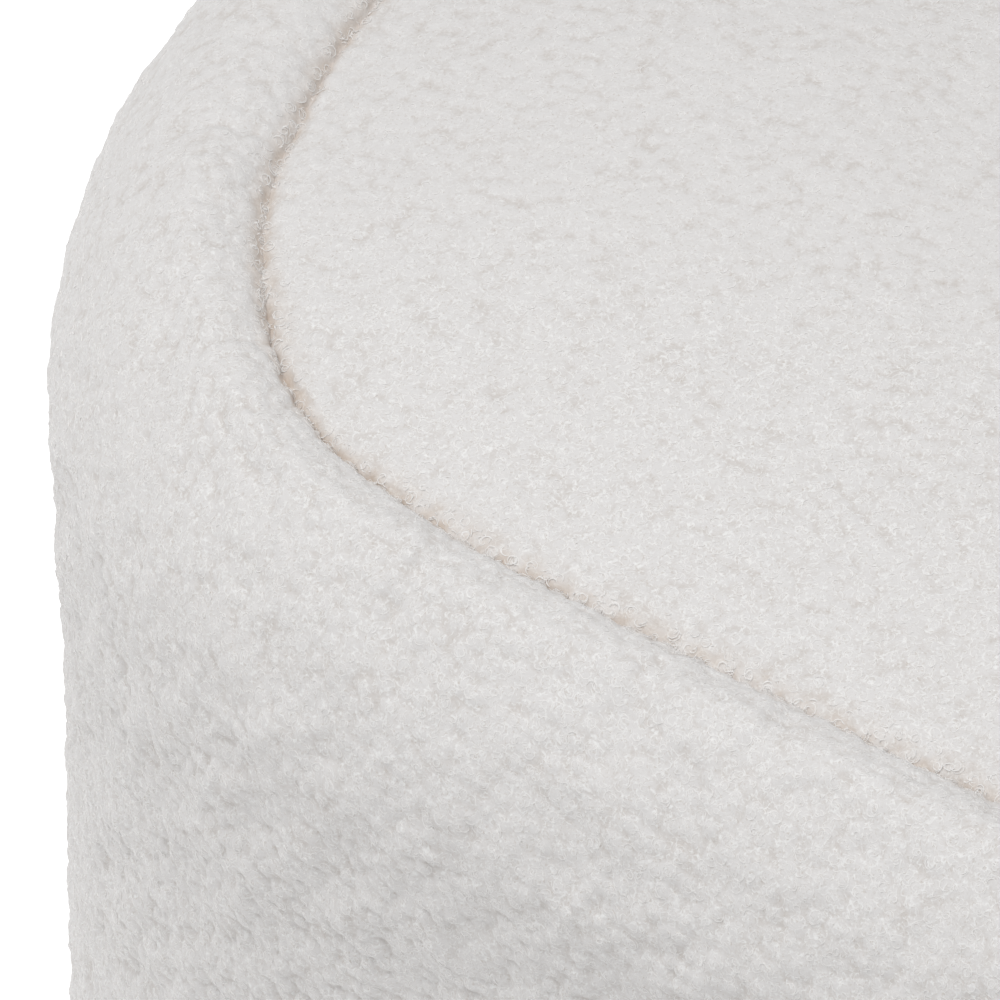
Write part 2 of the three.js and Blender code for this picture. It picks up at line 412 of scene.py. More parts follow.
def lid_skin(distance, way):
    """Points of the lid's skin."""
    inset = np.interp(way - CROWN_WAY, edge_way, edge_points[:, 0])
    edge_height = np.interp(way - CROWN_WAY, edge_way, edge_points[:, 1])
    share = np.clip(way / CROWN_WAY, 0, 1)[..., None]
    even = outline_at(distance, inset) * share
    from_middle = np.hypot(np.maximum(np.abs(even[..., 0]) - HALF_SIDE, 0), even[..., 1])
    crown_height = LID_EDGE_FOOT + lid_rise(LID_REACH - from_middle)
    height = np.where(way < CROWN_WAY, crown_height, edge_height)
    flat = outline_at(distance, inset - valley_shift(distance)) * share
    return np.concatenate([flat, height[..., None]], axis=-1)


def skin_normal(skin, distance, way):
    """Outward directions of a skin, from points close by on both sides."""
    step = 0.3 * MM
    sideways = skin(distance + step, way) - skin(distance - step, way)
    onward = skin(distance, way + step) - skin(distance, way - step)
    return unit(np.cross(onward, sideways))


lid_side = lid_skin(np.array([PERIMETER / 4]), np.array([CROWN_WAY + edge_way[-1]]))[0]
print("the lid is", round(-2 * lid_side[1] / MM, 1), "mm wide at its bottom")

# %% [markdown]
# ## Fine where it is seen closely
# The nubs of the pile are about 5 mm across, and a mesh that models them all over would be far too heavy.
# So the faces are a few millimetres long, and those that the picture sees are split again, each into a
# small grid of its own. The faces next to them take the extra corners in, so the skin stays closed.

# %% What the picture sees
def outside_picture(points):
    """How far points lie outside the picture's frame, measured on the object."""
    offset = points - np.array(camera.location)
    depth = offset @ -np.array(view_back)
    across = np.abs(offset @ np.array(view_right)) * CAMERA_DISTANCE / depth
    upward = np.abs(offset @ np.array(view_up)) * CAMERA_DISTANCE / depth
    return np.maximum(across, upward) - PICTURE_SIZE / 2 * PIXEL


def seen_cells(skin, rows, stations, margin):
    """Which cells of a grid the picture sees, with a margin round its frame."""
    middle_rows = (rows[:-1] + rows[1:]) / 2
    middle_stations = stations + PERIMETER / len(stations) / 2
    way, distance = np.meshgrid(middle_rows, middle_stations, indexing="ij")
    facing = skin_normal(skin, distance, way) @ np.array(view_back)
    return (outside_picture(skin(distance, way)) < margin) & (facing > -0.25)


# %% Grids with split faces
def split_grid(rows, stations, split, seen, closed):
    """Points and faces of a grid whose seen cells are split. Points are pairs of way and distance."""
    cell_rows, columns = seen.shape
    lattice_rows = cell_rows * split + (0 if closed else 1)
    lattice_columns = columns * split
    used = np.zeros((lattice_rows, lattice_columns), dtype=bool)
    used[::split, ::split] = True
    for i, j in np.argwhere(seen):
        down = np.arange(i * split, (i + 1) * split + 1) % lattice_rows
        across = np.arange(j * split, (j + 1) * split + 1) % lattice_columns
        used[np.ix_(down, across)] = True
    number = np.cumsum(used).reshape(used.shape) - 1
    faces = []
    for i in range(cell_rows):
        for j in range(columns):
            down = np.arange(i * split, (i + 1) * split + 1)
            across = np.arange(j * split, (j + 1) * split + 1)
            if seen[i, j]:
                faces.extend(
                    ((a, b), (a + 1, b), (a + 1, b + 1), (a, b + 1)) for a in down[:-1] for b in across[:-1]
                )
                continue
            border = [(a, across[0]) for a in down[:-1]]
            border += [(down[-1], b) for b in across[:-1]]
            border += [(a, across[-1]) for a in down[:0:-1]]
            border += [(down[0], b) for b in across[:0:-1]]
            faces.append(tuple(
                (a, b) for a, b in border if used[a % lattice_rows, b % lattice_columns]
            ))
    if not closed:
        top = [(0, b) for b in np.flatnonzero(used[0])]
        bottom = [(lattice_rows - 1, b) for b in np.flatnonzero(used[-1])]
        faces += [face[::-1] for face in mirrored_cap(top)] + mirrored_cap(bottom)
    row_places = np.interp(np.arange(cell_rows * split + 1) / split, np.arange(len(rows)), rows)
    station_places = np.arange(lattice_columns + 1) / split * PERIMETER / columns
    spots = np.argwhere(used)
    points = np.stack([row_places[spots[:, 0]], station_places[spots[:, 1]]], axis=1)
    corners = np.array([corner for face in faces for corner in face])
    sizes = np.array([len(face) for face in faces])
    share_round = station_places[corners[:, 1]] / PERIMETER
    share_down = row_places[corners[:, 0]] / rows[-1]
    chart = np.stack([share_round, share_down], axis=1)
    return points, number[corners[:, 0] % lattice_rows, corners[:, 1] % lattice_columns], sizes, chart


def mirrored_cap(ring):
    """Faces across a ring that is the same on the front and on the back, from the -X tip to the +X tip."""
    half = len(ring) // 2
    front = ring[1:half]
    back = ring[:half:-1]
    faces = [(ring[0], back[0], front[0]), (front[-1], back[-1], ring[half])]
    for i in range(half - 2):
        faces.append((front[i], back[i], back[i + 1], front[i + 1]))
    return faces


# %% [markdown]
# Whole arrays of points and faces go into a mesh in one step, much faster than adding face by face.
# The chart of the surface is kept as a UV map.

# %% Mesh objects from arrays
def mesh_object(name, points, corners, sizes, chart, rounded=True):
    """A mesh object from arrays, shaded round or flat, with a chart of its surface as its UV map."""
    mesh = bpy.data.meshes.new(name)
    mesh.vertices.add(len(points))
    mesh.vertices.foreach_set("co", points.reshape(-1))
    mesh.loops.add(len(corners))
    mesh.loops.foreach_set("vertex_index", corners.astype(np.int32))
    mesh.polygons.add(len(sizes))
    starts = np.concatenate([[0], np.cumsum(sizes)[:-1]])
    mesh.polygons.foreach_set("loop_start", starts.astype(np.int32))
    mesh.polygons.foreach_set("use_smooth", np.full(len(sizes), rounded))
    mesh.update(calc_edges=True)
    mesh.uv_layers.new(name="OFBake").uv.foreach_set("vector", chart.reshape(-1).astype(np.float32))
    mesh.validate()
    piece = bpy.data.objects.new(name, mesh)
    bpy.context.collection.objects.link(piece)
    return piece


def triangle_count(piece):
    """How many triangles a piece's faces come to."""
    return sum(len(face.vertices) - 2 for face in piece.data.polygons)


# %% [markdown]
# ## Lumps, nubs and puckers
# Foam and wadding are never quite even, so a few seeded waves in all directions make a soft lumpiness with
# no visible repeat. On top of that sit the nubs: small domes, a few millimetres across, each where
# there was still room between the others, as the loops of a pile crowd each other.

# %% Relief of the pile
NUB_APART = 4.0 * MM
GROOVE_NUB = 1.3 * MM


def lumps(points, size, seed, waves=28):
    """Soft random lumps of about that size at 3-D points, with a spread of about 1."""
    draw = np.random.default_rng(seed)
    direction = unit(draw.normal(size=(waves, 3)))
    length = size * draw.uniform(0.75, 1.5, size=waves)
    phase = draw.uniform(0, 2 * math.pi, size=waves)
    total = np.zeros(points.shape[:-1])
    for wave in range(waves):
        total += np.sin(points @ (direction[wave] * 2 * math.pi / length[wave]) + phase[wave])
    return total * math.sqrt(2 / waves)


def grow_nubs(points, room, tall, seed):
    """Domes on crowded points: their middles, and how high each point then lies."""
    draw = np.random.default_rng(seed)
    tree = kdtree.KDTree(len(points))
    for index, point in enumerate(points):
        tree.insert(point, index)
    tree.balance()
    order = draw.permutation(np.flatnonzero(room > 0))
    free = np.ones(len(points), dtype=bool)
    middles = []
    for index in order.tolist():
        if free[index]:
            middles.append(index)
            for place, other, apart in tree.find_range(points[index], NUB_APART):
                free[other] = False
    middles = np.array(middles)
    radius = draw.uniform(2.9, 4.4, size=len(middles)) * MM
    height = draw.uniform(0.5, 1.0, size=len(middles)) * (tall * room)[middles]
    domes = np.zeros(len(points))
    for index, r, h in zip(middles.tolist(), radius.tolist(), height.tolist()):
        for place, other, apart in tree.find_range(points[index], r):
            domes[other] = max(domes[other], h * (1 - (apart / r) ** 2))
    return middles, domes


# %% [markdown]
# The cloth is drawn in hard at the groove, and the pull shows on the rim as soft creases that run away from
# it. They are placed one by one: the distance from the tip, the inset, and their size.

# %% Creases of the rim in millimetres
RIM_CREASES = [
    {"from_tip": 60, "inset": 46, "length": 14, "width": 4, "depth": 1.0},
    {"from_tip": 104, "inset": 47, "length": 16, "width": 4.5, "depth": 1.2},
    {"from_tip": 141, "inset": 46, "length": 14, "width": 4, "depth": 1.3},
    {"from_tip": 172, "inset": 46, "length": 18, "width": 5, "depth": 1.2},
    {"from_tip": 203, "inset": 45, "length": 16, "width": 4, "depth": 1.4},
    {"from_tip": 238, "inset": 45, "length": 18, "width": 5, "depth": 1.2},
    {"from_tip": 279, "inset": 42, "length": 16, "width": 5, "depth": 1.1},
    {"from_tip": 327, "inset": 38, "length": 24, "width": 6, "depth": 2.0},
    {"from_tip": 366, "inset": 42, "length": 15, "width": 5, "depth": 1.0},
    {"from_tip": 402, "inset": 36, "length": 26, "width": 6, "depth": 1.9},
    {"from_tip": 438, "inset": 40, "length": 20, "width": 6, "depth": 1.7},
    {"from_tip": 480, "inset": 42, "length": 18, "width": 5, "depth": 1.3},
]


def rim_creases(distance, inset, height):
    """How deep the creases press the rim in."""
    depth = np.zeros_like(distance)
    for crease in RIM_CREASES:
        across = (distance - crease["from_tip"] * MM) / (crease["width"] * MM)
        along = (inset - crease["inset"] * MM) / (crease["length"] * MM)
        depth += crease["depth"] * MM * np.exp(-2 * across ** 2 - 2 * along ** 2)
    return depth * smooth(height, WIDEST_HEIGHT, RIM_ROLL_FOOT)


# %% [markdown]
# ## The body's cover
# The cover lies a little inside the solid, so that the pile that stands on it ends where the solid does.
# Nubs grow only on the points that the picture sees, and they fade out softly round its frame.

# %% Where a cover gets its nubs
FADE = 8 * MM


def faces_to_split(skin, rows, stations, outside):
    """The cells of a cover that are in the picture, where along the section the cloth shows."""
    showing = (rows[:-1] < outside[1]) & (rows[1:] > outside[0])
    return seen_cells(skin, rows, stations, 14 * MM) & showing[:, None]


def cloth_shows(way, outside):
    """1 where along the section the cloth shows, falling softly to 0."""
    start, end = outside
    return smooth(way, start - FADE, start) * (1 - smooth(way, end, end + FADE))


def picture_sees(points, normal):
    """1 for points in the picture, falling softly to 0 outside its frame and on the far side."""
    inside = 1 - smooth(outside_picture(points), 1 * MM, 10 * MM)
    return inside * smooth(normal @ np.array(view_back), -0.22, -0.1)


# %% [markdown]
# The pile isn't the same all over. Sitting has flattened it on the top, and it stands up more down the long
# sides. In the groove it is short, and what light reaches there is warm, because it has passed through the
# cloth: that warm shade is painted into the colour. The painted shade breaks up along the line, where some
# loops stand across it.

# %% Height of the pile, and the groove's painted shade
def along_side(distance):
    """0 round the tips and 1 along the sides, where the pile stands up more."""
    return smooth(from_tip(distance), 80 * MM, 220 * MM)


def pile_height(distance, height, tallest):
    """How tall the nubs are: flatter on the worn top and round the tips, taller down the long sides."""
    side = along_side(distance)
    low = 1 - smooth(height, 320 * MM, 405 * MM)
    return tallest * (0.75 + 0.25 * side + 0.9 * side * low)


def lid_shade_reach(distance):
    """How far up the lid's edge the groove's painted shade goes: less round the tips."""
    return (1.5 + 2.5 * smooth(from_tip(distance), 130 * MM, 230 * MM)) * MM


def groove_shade_share(points, distance):
    """Two shares of the groove's painted shade: what the loops leave, and what the place round the lid
    gives.
    """
    away = from_tip(distance)
    broken = 0.25 + 0.45 * smooth(away, 230 * MM, 330 * MM)
    loops = 1 - broken * smooth(lumps(points, 7 * MM, 3), 0.6, -0.8)
    return loops, 1 - 0.4 * smooth(away, 300 * MM, 420 * MM) - 0.3 * near_tip(distance)


# %% [markdown]
# A cover's points carry four numbers for the finish: how high the pile stands there, which also sets the
# painted shade between modelled nubs, whether its nubs are modelled, how much of the groove's warm painted
# shade it takes, more the deeper in the groove the point lies, and how lively the pile is.

# %% Make a cover from a skin
def make_cover(name, skin, rows, stations, split, closed, outside, tallest, seed):
    """A cover with nubs where the picture sees it. outside says where along the section the cloth shows."""
    seen = faces_to_split(skin, rows, stations, outside)
    spots, corners, sizes, chart = split_grid(rows, stations, split, seen, closed)
    way, distance = spots[:, 0], spots[:, 1]
    base = skin(distance, way)
    normal = skin_normal(skin, distance, way)
    shows = cloth_shows(way, outside)
    near = picture_sees(base, normal) * shows
    height = base[:, 2]
    inset = END_RADIUS - np.hypot(np.maximum(np.abs(base[:, 0]) - HALF_SIDE, 0), base[:, 1])
    in_groove = inset > RIM_CREST_INSET
    above = height - valley_height(distance)
    valley = in_groove * (1 - smooth(above, 0, 8 * MM))
    bottom = in_groove * (1 - smooth(above, -1 * MM, 1.5 * MM))
    pile = pile_height(distance, height, tallest)
    tall = (pile + (GROOVE_NUB - pile) * valley) * (1 - 0.9 * bottom)
    middles, domes = grow_nubs(base, near, tall, seed)
    uneven = 0.3 * lumps(base, 32 * MM, seed + 1) + 0.2 * lumps(base, 13 * MM, seed + 2)
    relief = -PILE_DEPTH * (0.5 + 0.5 * np.maximum(near, smooth(valley, 0, 0.5)))
    relief += domes + uneven * pile * (1 - valley)
    if closed:
        relief -= rim_creases(distance, inset, height) * (1 - valley)
    relief *= shows
    nap = domes / tall
    # The groove's warm painted shade: low in the valley, weaker on the nubs' tops, broken up by loops.
    shade_reach = 5 * MM if closed else lid_shade_reach(distance)
    deep = in_groove * (1 - smooth(above, 0.2 * shade_reach, shade_reach)) * smooth(above, -7 * MM, -3 * MM)
    loops, places = groove_shade_share(base, distance)
    groove_shade = deep * (1 - 0.5 * nap) * loops * places
    lively = 0.6 + 0.7 * along_side(distance)
    points = base + normal * relief[:, None]
    piece = mesh_object(name, points, corners, sizes, chart)
    for label, values in (("nap", nap), ("modelled", near), ("groove_shade", groove_shade), ("lively", lively)):
        layer = piece.data.attributes.new(label, "FLOAT", "POINT")
        layer.data.foreach_set("value", values.astype(np.float32))
    nubs = {
        "middle": points[middles], "normal": normal[middles],
        "deep": deep[middles], "lively": lively[middles],
    }
    print(name, triangle_count(piece), "triangles,", len(middles), "nubs")
    return piece, nubs


# %% Body cover
body_cover, body_nubs = make_cover(
    "body_cover_cloth", body_skin, body_rows, even_stations(6.8 * MM), 5, True,
    (6 * MM, body_outside), 1.2 * MM, seed=11,
)

# %% [markdown]
# ## The lid's cover
# The lid is a board with a crowned pad, wrapped in the same cloth. Its first and last rings mirror
# themselves front and back, so that a row of faces closes each of them.

# %% Lid cover
lid_cover, lid_nubs = make_cover(
    "lid_cover_cloth", lid_skin, lid_rows, even_stations(8 * MM), 4, False,
    (-20 * MM, CROWN_WAY + edge_way[-1] - LID_SIDE), 0.6 * MM, seed=21,
)

# %% [markdown]
# ## Colours and nodes
# Colours are written as sRGB hex, as a paint card gives them, and turned to the linear values that the
# renderer works in. One small function adds a node, sets it up and links its inputs.

# %% Colour and node helpers
def linear(hex_colour):
    """Linear RGBA from an sRGB hex value."""
    channels = [int(hex_colour[i:i + 2], 16) / 255 for i in (1, 3, 5)]
    return tuple(c / 12.92 if c <= 0.04045 else ((c + 0.055) / 1.055) ** 2.4 for c in channels) + (1.0,)


def add(tree, kind, settings, inputs):
    """Adds a node. settings are its own properties; inputs are values, or sockets to link from."""
    node = tree.nodes.new(kind)
    for name, value in settings.items():
        setattr(node, name, value)
    for key, value in inputs.items():
        if isinstance(value, bpy.types.NodeSocket):
            tree.links.new(value, node.inputs[key])
        else:
            node.inputs[key].default_value = value
    return node


def new_material(name):
    """An empty material, its tree, and points on the object in millimetres."""
    material = bpy.data.materials.new(name)
    material.use_nodes = True
    tree = material.node_tree
    tree.nodes.clear()
    place = add(tree, "ShaderNodeTexCoord", {}, {}).outputs["Object"]
    point = add(tree, "ShaderNodeVectorMath", {"operation": "SCALE"}, {0: place, "Scale": 1 / MM})
    return material, tree, point.outputs[0]


# %% [markdown]
# ## Boucle
# The real cloth is a wool-like yarn, thrown into small loops as it is woven, so light sinks between the
# curls and leaves them softly bright, with a warm grey shade in the gaps. That shade is painted into the
# colour: where the nubs are modelled, the painted shade follows them. Elsewhere cells of a 3-D pattern of
# the same size stand in for them, in the painted shade and as bump. Single fibres wind through the pile.
# Lines of equal value in a soft noise wind in just that way, so two such noises draw the fibres, each a
# bright line, the fibre with a painted highlight, with a darker line of painted shadow beside it, and a
# third breaks them up.

# %% Fibres of the boucle, with sizes in millimetres
CLUMP = 4.6
LOOP = 3.0
FUZZ = 1.1
FLECK = 0.8
PATCH = 9
FIBRE_SHARE = 0.045


def fibre_lines(tree, point, size, shift):
    """Winding lines, from 0 to 1: the bright line of each fibre, with its painted highlight, and the dark
    line beside it, the fibre's painted shadow.
    """
    moved = add(tree, "ShaderNodeVectorMath", {"operation": "ADD"}, {0: point, 1: (shift, shift, shift)})
    soft = add(tree, "ShaderNodeTexNoise", {}, {
        "Vector": moved.outputs[0], "Scale": 1 / size, "Detail": 1.0, "Roughness": 0.4, "Distortion": 0.6,
    }).outputs[0]
    lines = []
    for level in (0.5, 0.5 + 1.5 * FIBRE_SHARE):
        off = add(tree, "ShaderNodeMath", {"operation": "SUBTRACT"}, {0: soft, 1: level}).outputs[0]
        off = add(tree, "ShaderNodeMath", {"operation": "ABSOLUTE"}, {0: off}).outputs[0]
        lines.append(add(tree, "ShaderNodeMapRange", {"interpolation_type": "SMOOTHSTEP"}, {
            "Value": off, "From Min": FIBRE_SHARE, "From Max": 0.0,
        }).outputs[0])
    return lines


# %% Pattern of the boucle
def boucle_pattern(tree, point):
    """The numbers that the cover's points carry, and patterns in the cloth, as sockets by name."""
    cloth = {}
    for label in ("modelled", "nap", "groove_shade", "lively"):
        cloth[label] = add(tree, "ShaderNodeAttribute", {"attribute_name": label}, {}).outputs["Fac"]
    cells = add(tree, "ShaderNodeTexVoronoi", {}, {"Vector": point, "Scale": 1 / CLUMP})
    cloth["drawn"] = add(tree, "ShaderNodeMapRange", {"interpolation_type": "SMOOTHSTEP"}, {
        "Value": cells.outputs["Distance"], "From Min": 0.85, "From Max": 0.1,
    }).outputs[0]
    cloth["pile"] = add(tree, "ShaderNodeMix", {"data_type": "FLOAT"}, {
        "Factor": cloth["modelled"], "A": cloth["drawn"], "B": cloth["nap"],
    }).outputs[0]
    for label, size, detail in (("fuzz", FUZZ, 3.0), ("patch", PATCH, 2.0), ("fleck", FLECK, 1.0)):
        cloth[label] = add(tree, "ShaderNodeTexNoise", {}, {
            "Vector": point, "Scale": 1 / size, "Detail": detail,
        }).outputs[0]
    return cloth


# %% [markdown]
# The colours go on in layers, each with a weight: light nubs with darker gaps first, the gaps' darkness
# painted shade, uneven from patch to patch, then the fibres, each a bright line with a painted highlight
# and a line of painted shadow beside it, weaker where the pile lies flat, then small flecks of painted
# shade between the loops, and last the groove's warm painted shade.

# %% Colours of the boucle
def boucle_colour(tree, point, cloth):
    """The cloth's colour, layer by layer."""
    share = add(tree, "ShaderNodeMath", {"operation": "MULTIPLY_ADD"}, {
        0: cloth["fuzz"], 1: 1.1, 2: cloth["pile"],
    })
    share = add(tree, "ShaderNodeMath", {"operation": "MULTIPLY_ADD"}, {
        0: cloth["patch"], 1: 0.6, 2: share.outputs[0],
    })
    # Painted shade between the nubs: the lower the pile, the greyer, with random tone from the fuzz and the
    # patches.
    whiteness = add(tree, "ShaderNodeMapRange", {"interpolation_type": "SMOOTHSTEP"}, {
        "Value": share.outputs[0], "From Min": 0.55, "From Max": 1.45,
    })
    broken = add(tree, "ShaderNodeMapRange", {}, {
        "Value": cloth["fuzz"], "From Min": 0.4, "From Max": 0.6,
    })
    broken = add(tree, "ShaderNodeMath", {"operation": "MULTIPLY"}, {
        0: broken.outputs[0], 1: cloth["lively"],
    }).outputs[0]
    layers = [(whiteness, "#e9e7e6")]
    for size, shift in ((LOOP, 0.0), (0.7 * LOOP, 71.3)):
        # Each fibre: a bright line with a painted highlight, and beside it a dark line of painted shadow.
        bright, dark = fibre_lines(tree, point, size, shift)
        for line, amount, tint in ((dark, 0.3, "#d2ccc5"), (bright, 0.6, "#fbfbfa")):
            seen = add(tree, "ShaderNodeMath", {"operation": "MULTIPLY"}, {0: line, 1: broken})
            seen = add(tree, "ShaderNodeMath", {"operation": "MULTIPLY"}, {0: seen.outputs[0], 1: amount})
            layers.append((seen, tint))
    fleck = add(tree, "ShaderNodeMapRange", {"interpolation_type": "SMOOTHSTEP"}, {
        "Value": cloth["fleck"], "From Min": 0.62, "From Max": 0.74, "To Max": 0.35,
    })
    layers.append((fleck, "#c6bbb0"))
    # The groove's warm painted shade.
    deep = add(tree, "ShaderNodeMath", {"operation": "MULTIPLY"}, {0: cloth["groove_shade"], 1: 0.95})
    layers.append((deep, "#cdbdae"))
    # The colour under all the layers is the painted shade of the gaps.
    colour = linear("#dbd6d2")
    for weight, tint in layers:
        colour = add(tree, "ShaderNodeMix", {"data_type": "RGBA"}, {
            "Factor": weight.outputs[0], "A": colour, "B": linear(tint),
        }).outputs["Result"]
    return colour


# %% Boucle material: a rough, matt surface with a little sheen at grazing angles
def boucle_material():
    """The cloth. Bump stands in for the nubs where they aren't modelled, and adds fuzz everywhere."""
    material, tree, point = new_material("boucle_looped_yarn")
    cloth = boucle_pattern(tree, point)
    rest = add(tree, "ShaderNodeMath", {"operation": "SUBTRACT"}, {0: 1.0, 1: cloth["modelled"]})
    height = add(tree, "ShaderNodeMath", {"operation": "MULTIPLY"}, {0: cloth["drawn"], 1: rest.outputs[0]})
    height = add(tree, "ShaderNodeMath", {"operation": "MULTIPLY_ADD"}, {
        0: cloth["fuzz"], 1: 0.5, 2: height.outputs[0],
    })
    bump = add(tree, "ShaderNodeBump", {}, {
        "Strength": 0.5, "Distance": 0.8 * MM, "Height": height.outputs[0],
    })
    shader = add(tree, "ShaderNodeBsdfPrincipled", {}, {
        "Roughness": 0.95, "IOR": 1.5, "Specular IOR Level": 0.2,
        "Sheen Weight": 0.2, "Sheen Roughness": 0.5,
        "Normal": bump.outputs[0], "Base Color": boucle_colour(tree, point, cloth),
    })
    add(tree, "ShaderNodeOutputMaterial", {}, {"Surface": shader.outputs[0]})
    return material


boucle = boucle_material()
for piece in (body_cover, lid_cover):
    piece.data.materials.append(boucle)
print("boucle clumps", CLUMP, "mm across")

# %% [markdown]
# ## Curls
# What catches the eye are single fibres that loop round the nubs, a hair thick and brighter than the pile
# below. Bump can't lift them off the cloth, so each is a thin bent tube of its own, lying on its nub's
# dome, and thousands of them are joined into a few meshes straight from arrays. There are more of them
# along the long sides, where the pile is lively, and most over the groove, where they arch across it.

# %% Spines of the curls
CURL_SEGMENTS = 5


def curl_spines(cover, nubs, per_nub, seed):
    """Spines of curls: arcs round the nubs, laid on the cover, with the directions across and off it."""
    draw = np.random.default_rng(seed)
    share = per_nub * nubs["lively"] + 5 * nubs["deep"]
    share = np.floor(share + draw.uniform(0, 1, size=len(share))).astype(int)
    chosen = np.repeat(np.arange(len(share)), share)
    amount = len(chosen)
    normal = nubs["normal"][chosen]
    side = unit(np.cross(normal, draw.normal(size=(amount, 3))))
    other = np.cross(normal, side)
    reach = draw.uniform(0.7, 1.8, size=amount) * MM
    spread = draw.uniform(0.5, 1.6, size=amount) ** 2 * 1.9
    start = draw.uniform(0, 2 * math.pi, size=amount)
    shift = draw.normal(size=(amount, 2)) * 0.7 * MM
    middle = nubs["middle"][chosen] + side * shift[:, :1] + other * shift[:, 1:]
    angle = start[:, None] + spread[:, None] * np.linspace(0, 1, CURL_SEGMENTS + 1)
    radial = np.cos(angle)[..., None] * side[:, None] + np.sin(angle)[..., None] * other[:, None]
    above = middle[:, None] + radial * reach[:, None, None] + normal[:, None] * 4 * MM
    tree = BVHTree.FromObject(cover, bpy.context.evaluated_depsgraph_get())
    spine = np.zeros_like(above)
    kept = np.ones(amount, dtype=bool)
    for i in range(amount):
        down = Vector(-normal[i])
        for k in range(CURL_SEGMENTS + 1):
            place = tree.ray_cast(Vector(above[i, k]), down, 8 * MM)[0]
            if place is None:
                kept[i] = False
                break
            spine[i, k] = place
    rise = draw.uniform(0, 1, size=amount) * (0.15 + 0.75 * nubs["deep"][chosen]) * MM
    arch = np.sin(math.pi * np.linspace(0, 1, CURL_SEGMENTS + 1))
    spine += normal[:, None] * (rise[:, None] * arch)[..., None]
    return spine[kept], radial[kept], np.broadcast_to(normal[:, None], spine.shape)[kept]


# %% [markdown]
# A real fibre is thinner than a pixel, so the tubes are drawn coarser, about a pixel thick, to show at all.
# Three sides are enough at that size. One curl's faces are numbered once and repeated for all of them, and
# each curl has a small field of its own in the chart.

# %% Tubes along the spines
CURL_SIDES = 3
CURLS_PER_PIECE = 5000


def curl_mesh(name, spine, radial, normal, seed):
    """One mesh of bent three-sided tubes along the spines."""
    draw = np.random.default_rng(seed)
    amount = len(spine)
    thick = draw.uniform(0.09, 0.15, size=(amount, 1)) * MM
    steps = np.linspace(0, 1, CURL_SEGMENTS + 1)
    taper = thick * np.minimum(1, 2.5 * np.sin(math.pi * np.clip(steps, 0.05, 0.95)))
    rings = []
    for k in range(CURL_SIDES):
        around = math.pi / 6 + 2 * math.pi * k / CURL_SIDES
        rings.append(spine + (math.cos(around) * radial + math.sin(around) * normal) * taper[..., None])
    points = np.stack(rings, axis=2)
    per_curl = (CURL_SEGMENTS + 1) * CURL_SIDES
    segment, side = np.meshgrid(np.arange(CURL_SEGMENTS), np.arange(CURL_SIDES), indexing="ij")
    quads = np.stack([
        segment * CURL_SIDES + side, segment * CURL_SIDES + (side + 1) % CURL_SIDES,
        (segment + 1) * CURL_SIDES + (side + 1) % CURL_SIDES, (segment + 1) * CURL_SIDES + side,
    ], axis=-1).reshape(-1, 4)
    quad_chart = np.stack([
        np.stack([segment, segment, segment + 1, segment + 1], axis=-1) / CURL_SEGMENTS,
        np.stack([side, side + 1, side + 1, side], axis=-1) / CURL_SIDES,
    ], axis=-1).reshape(-1, 2)
    last = per_curl - CURL_SIDES
    caps = np.array([2, 1, 0, last, last + 1, last + 2])
    cap_chart = np.array([[0, 0], [0.05, 0], [0, 0.05], [1, 1], [0.95, 1], [1, 0.95]])
    one_curl = np.concatenate([quads.reshape(-1), caps])
    one_chart = np.concatenate([quad_chart, cap_chart]) * 0.8 + 0.1
    sizes = np.tile(np.concatenate([np.full(len(quads), 4), [3, 3]]), amount)
    corners = (np.arange(amount)[:, None] * per_curl + one_curl).reshape(-1)
    beside = math.ceil(math.sqrt(amount))
    field = np.stack(np.divmod(np.arange(amount), beside), axis=1)
    chart = (field[:, None] + one_chart[None]) / beside
    return mesh_object(name, points.reshape(-1, 3), corners, sizes, chart, rounded=False)


# %% [markdown]
# The fibres are the same yarn, seen singly: a little glossier and whiter than the pile that they lie on.

# %% Fibre material
SHADE = 4


def fibre_material():
    """Single fibres of the yarn, whose white changes a little every few millimetres."""
    material, tree, point = new_material("boucle_single_fibre")
    shade = add(tree, "ShaderNodeTexNoise", {}, {"Vector": point, "Scale": 1 / SHADE, "Detail": 2.0})
    yarn = add(tree, "ShaderNodeMix", {"data_type": "RGBA"}, {
        "Factor": shade.outputs[0], "A": linear("#f1efed"), "B": linear("#fdfcfb"),
    })
    shader = add(tree, "ShaderNodeBsdfPrincipled", {}, {
        "Roughness": 0.5, "IOR": 1.5, "Sheen Weight": 0.2, "Base Color": yarn.outputs["Result"],
    })
    add(tree, "ShaderNodeOutputMaterial", {}, {"Surface": shader.outputs[0]})
    return material


fibre = fibre_material()
curls = []
for label, cover, nubs, per_nub, body, seed in (
    ("body", body_cover, body_nubs, 3.1, "ottoman_body", 31),
    ("lid", lid_cover, lid_nubs, 2.2, "lid", 41),
):
    spine, radial, normal = curl_spines(cover, nubs, per_nub, seed)
    pieces = math.ceil(len(spine) / CURLS_PER_PIECE)
    for k in range(pieces):
        part = slice(k * len(spine) // pieces, (k + 1) * len(spine) // pieces)
        pile = curl_mesh(f"{label}_curls_{k + 1}", spine[part], radial[part], normal[part], seed + 1 + k)
        pile.data.materials.append(fibre)
        curls.append((pile, body))
        print(pile.name, triangle_count(pile), "triangles")

# %% [markdown]
# ## Base board
# The board under the hem is out of sight in the photograph: a plain board, stained black. Its solid has the
# right shape, so it stays and only takes a finish: a dull black in which a faint grain shows.

# %% Base board material, its grain lines about 25 mm long and 1.1 mm apart
GRAIN_SCALE = (0.04, 0.9, 0.9)


